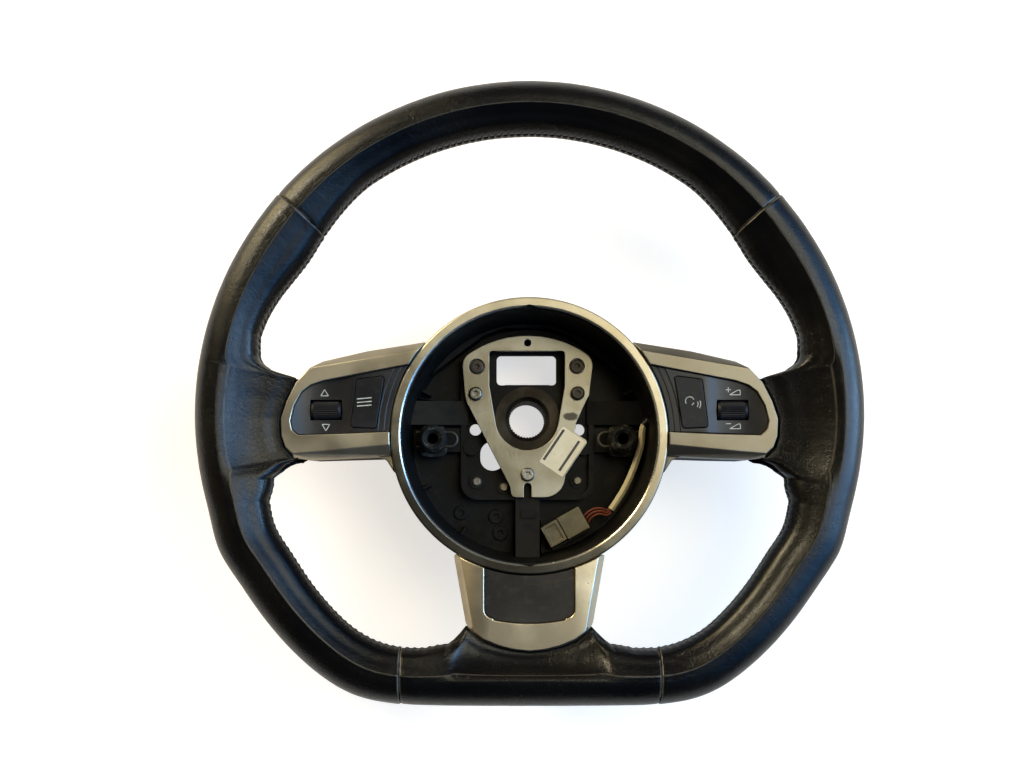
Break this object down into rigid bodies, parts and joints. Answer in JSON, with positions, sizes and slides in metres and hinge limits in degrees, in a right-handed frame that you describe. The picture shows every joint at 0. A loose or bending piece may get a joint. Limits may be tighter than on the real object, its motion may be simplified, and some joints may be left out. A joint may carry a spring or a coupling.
{
  "type": "car steering wheel",
  "caption": "Flat-bottomed leather car steering wheel with silver spoke trims, thumb rollers and an open hub well, cover module removed.",
  "frame": {"origin": "centre of the shaft bore at the rear face of the hub boss, which is level with the rear rim of the rear cover", "axes": "+Z along the steering axis towards the driver, +Y towards 12 o'clock with the wheel straight ahead, +X towards 3 o'clock"},
  "size_m": [0.3694, 0.3457, 0.0889],
  "materials": {
    "casting": "as-cast magnesium alloy, dull",
    "hub_steel": "turned steel",
    "plate_steel": "zinc-plated sheet, brushed",
    "screw_steel": "plated steel",
    "dark_steel": "blackened steel",
    "rivet_brass": "dull brass",
    "spring_steel": "spring wire",
    "black_plastic": "moulded black plastic",
    "satin_paint": "worn satin silver paint",
    "soft_black": "soft-touch black",
    "roller_rubber": "ribbed black",
    "board_green": "circuit board",
    "dome_rubber": "soft rubber",
    "foam": "moulded foam",
    "leather": "worn black leather",
    "lead_sheath": "cream sheath",
    "red_wire": "red wire sheath",
    "plug_plastic": "grey-beige plastic",
    "label_film": "plain sticker"
  },
  "bodies": {
    "wheel": {"armature": "casting", "spline_hub": "hub_steel", "shield_plate": "plate_steel", "plate_screws": "screw_steel", "dark_screws": "dark_steel", "rivets": "rivet_brass", "catch_sockets": "black_plastic", "catch_springs": "spring_steel", "hub_tub": "black_plastic", "rear_cover": "black_plastic", "left_spoke_cover": "black_plastic", "right_spoke_cover": "black_plastic", "bottom_spoke_cover": "black_plastic", "cover_screws": "dark_steel", "centre_ring": "satin_paint", "left_bezel": "satin_paint", "right_bezel": "satin_paint", "bottom_bezel": "satin_paint", "bottom_insert": "soft_black", "left_switch_housing": "soft_black", "right_switch_housing": "soft_black", "left_board": "board_green", "right_board": "board_green", "left_domes": "dome_rubber", "right_domes": "dome_rubber", "rim_foam": "foam", "leather_top": "leather", "leather_left": "leather", "leather_right": "leather", "leather_bottom": "leather", "lead_grommet": "dome_rubber", "lead": "lead_sheath", "lead_wires": "red_wire", "connector": "plug_plastic", "connector_holder": "black_plastic", "label": "label_film"},
    "left_carrier": {"left_carrier": "black_plastic"},
    "left_roller": {"left_roller": "roller_rubber"},
    "right_carrier": {"right_carrier": "black_plastic"},
    "right_roller": {"right_roller": "roller_rubber"},
    "mode_button": {"mode_button": "soft_black"},
    "voice_button": {"voice_button": "soft_black"}
  },
  "joints": [
    {"name": "left_roller_press", "type": "slide", "parent": "wheel", "child": "left_carrier", "axis": [0, 0, -1], "range_m": [0, 0.0008], "stiffness_N_per_m": 450, "springref_m": -0.0008},
    {"name": "left_roller_turn", "type": "hinge", "parent": "left_carrier", "child": "left_roller", "pos_m": [-0.1125, 0.0017, 0.07105], "axis": [1, 0, 0], "continuous": true},
    {"name": "right_roller_press", "type": "slide", "parent": "wheel", "child": "right_carrier", "axis": [0, 0, -1], "range_m": [0, 0.0008], "stiffness_N_per_m": 450, "springref_m": -0.0008},
    {"name": "right_roller_turn", "type": "hinge", "parent": "right_carrier", "child": "right_roller", "pos_m": [0.1125, 0.0017, 0.07105], "axis": [1, 0, 0], "continuous": true},
    {"name": "mode_button_press", "type": "slide", "parent": "wheel", "child": "mode_button", "axis": [0, 0, -1], "range_m": [0, 0.001], "stiffness_N_per_m": 450, "springref_m": -0.0008},
    {"name": "voice_button_press", "type": "slide", "parent": "wheel", "child": "voice_button", "axis": [0, 0, -1], "range_m": [0, 0.001], "stiffness_N_per_m": 450, "springref_m": -0.0008}
  ]
}
